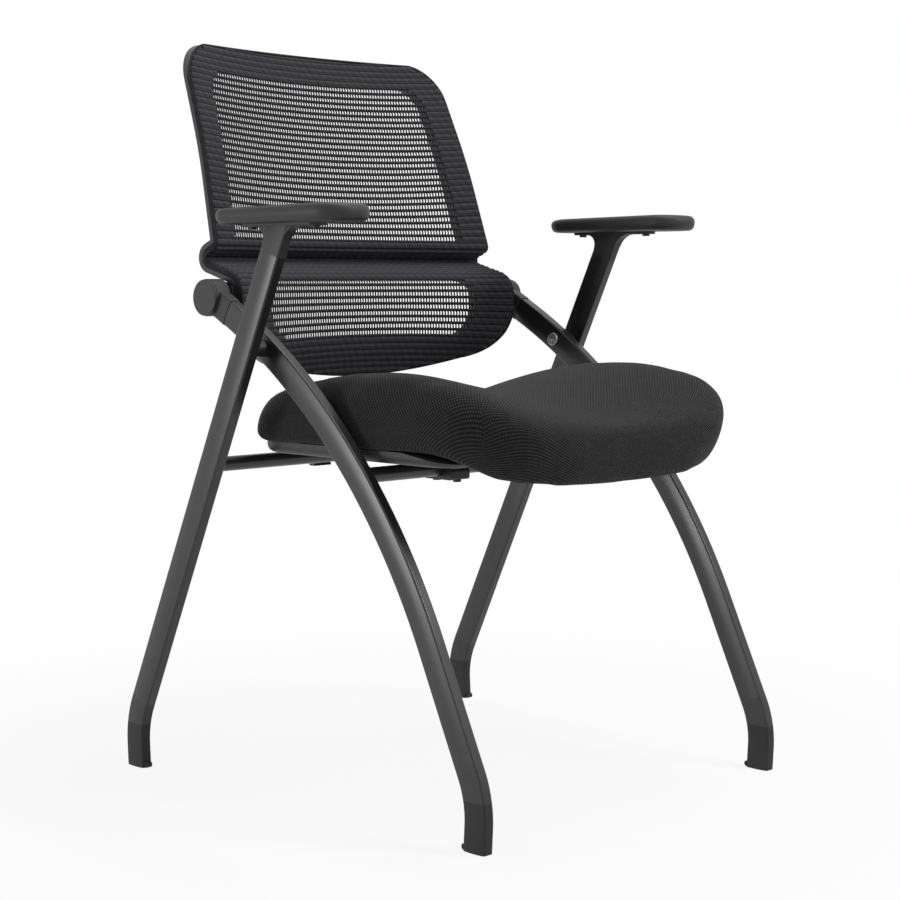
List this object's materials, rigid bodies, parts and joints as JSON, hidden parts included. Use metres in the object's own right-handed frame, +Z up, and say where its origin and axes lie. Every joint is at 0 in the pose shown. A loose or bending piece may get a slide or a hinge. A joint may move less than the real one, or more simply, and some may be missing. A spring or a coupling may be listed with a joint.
{
  "type": "folding visitor chair",
  "caption": "Black office visitor chair with crossed folding tube legs, padded arms, an upholstered seat that flips up and a sprung net back.",
  "frame": {"origin": "middle of the chair on the floor", "axes": "+X to the sitter's left, +Y to the rear, +Z up"},
  "size_m": [0.6236, 0.5803, 0.869],
  "materials": {
    "tube_paint": "satin dark grey powder paint",
    "fitting_plastic": "fine grained black-grey plastic",
    "arm_skin": "self-skinned polyurethane, fine grain",
    "rubber": "matt black rubber",
    "steel": "bright zinc plated steel",
    "nylon": "black nylon",
    "pan_plastic": "grained black-grey plastic",
    "plywood": "bare moulded plywood, hidden",
    "seat_fabric": "black spacer weave",
    "rail_plastic": "grained black-grey plastic",
    "net": "charcoal open knit"
  },
  "bodies": {
    "rear_frame": {"rear_leg_left": "tube_paint", "rear_leg_right": "tube_paint", "rear_crossbar": "tube_paint", "arm_bracket_left": "fitting_plastic", "arm_bracket_right": "fitting_plastic", "arm_pad_left": "arm_skin", "arm_pad_right": "arm_skin", "arm_screws": "steel", "rear_foot_left": "fitting_plastic", "rear_foot_right": "fitting_plastic", "rear_boot_left": "rubber", "rear_boot_right": "rubber", "pivot_bolt_left": "steel", "pivot_bolt_right": "steel", "pivot_spacer_left": "nylon", "pivot_spacer_right": "nylon", "pivot_nut_left": "steel", "pivot_nut_right": "steel"},
    "front_frame": {"front_leg_left": "tube_paint", "front_leg_right": "tube_paint", "front_crossbar": "tube_paint", "hub_housing_left": "fitting_plastic", "hub_housing_right": "fitting_plastic", "hub_cap_left": "fitting_plastic", "hub_cap_right": "fitting_plastic", "hub_axle_left": "steel", "hub_axle_right": "steel", "front_foot_left": "fitting_plastic", "front_foot_right": "fitting_plastic", "front_boot_left": "rubber", "front_boot_right": "rubber"},
    "seat": {"seat_cushion": "seat_fabric", "seat_board": "plywood", "seat_pan": "pan_plastic", "front_clamp_left": "nylon", "front_clamp_right": "nylon", "clamp_strap_left": "nylon", "clamp_strap_right": "nylon", "rear_hook_left": "nylon", "rear_hook_right": "nylon", "seat_screws": "steel"},
    "back": {"side_rail_left": "rail_plastic", "side_rail_right": "rail_plastic", "top_rail": "rail_plastic", "waist_rail": "rail_plastic", "bottom_rail": "rail_plastic", "upper_net": "net", "lumbar_net": "net", "recline_bush_left": "rubber", "recline_bush_right": "rubber"}
  },
  "joints": [
    {"name": "frame_fold", "type": "hinge", "parent": "rear_frame", "child": "front_frame", "pos_m": [0, 0.05962, 0.50848], "axis": [1, 0, 0], "range_deg": [0, 44]},
    {"name": "seat_flip", "type": "hinge", "parent": "front_frame", "child": "seat", "pos_m": [0, -0.09104, 0.375], "axis": [1, 0, 0], "range_deg": [0, 65]},
    {"name": "back_recline", "type": "hinge", "parent": "front_frame", "child": "back", "pos_m": [0, 0.15793, 0.56464], "axis": [-1, 0, 0], "range_deg": [0, 10], "stiffness_Nm_per_rad": 60, "springref_deg": -5.73}
  ],
  "couplings": [
    {"joint": "seat_flip", "follows": "frame_fold", "ratio": 1.4772}
  ]
}
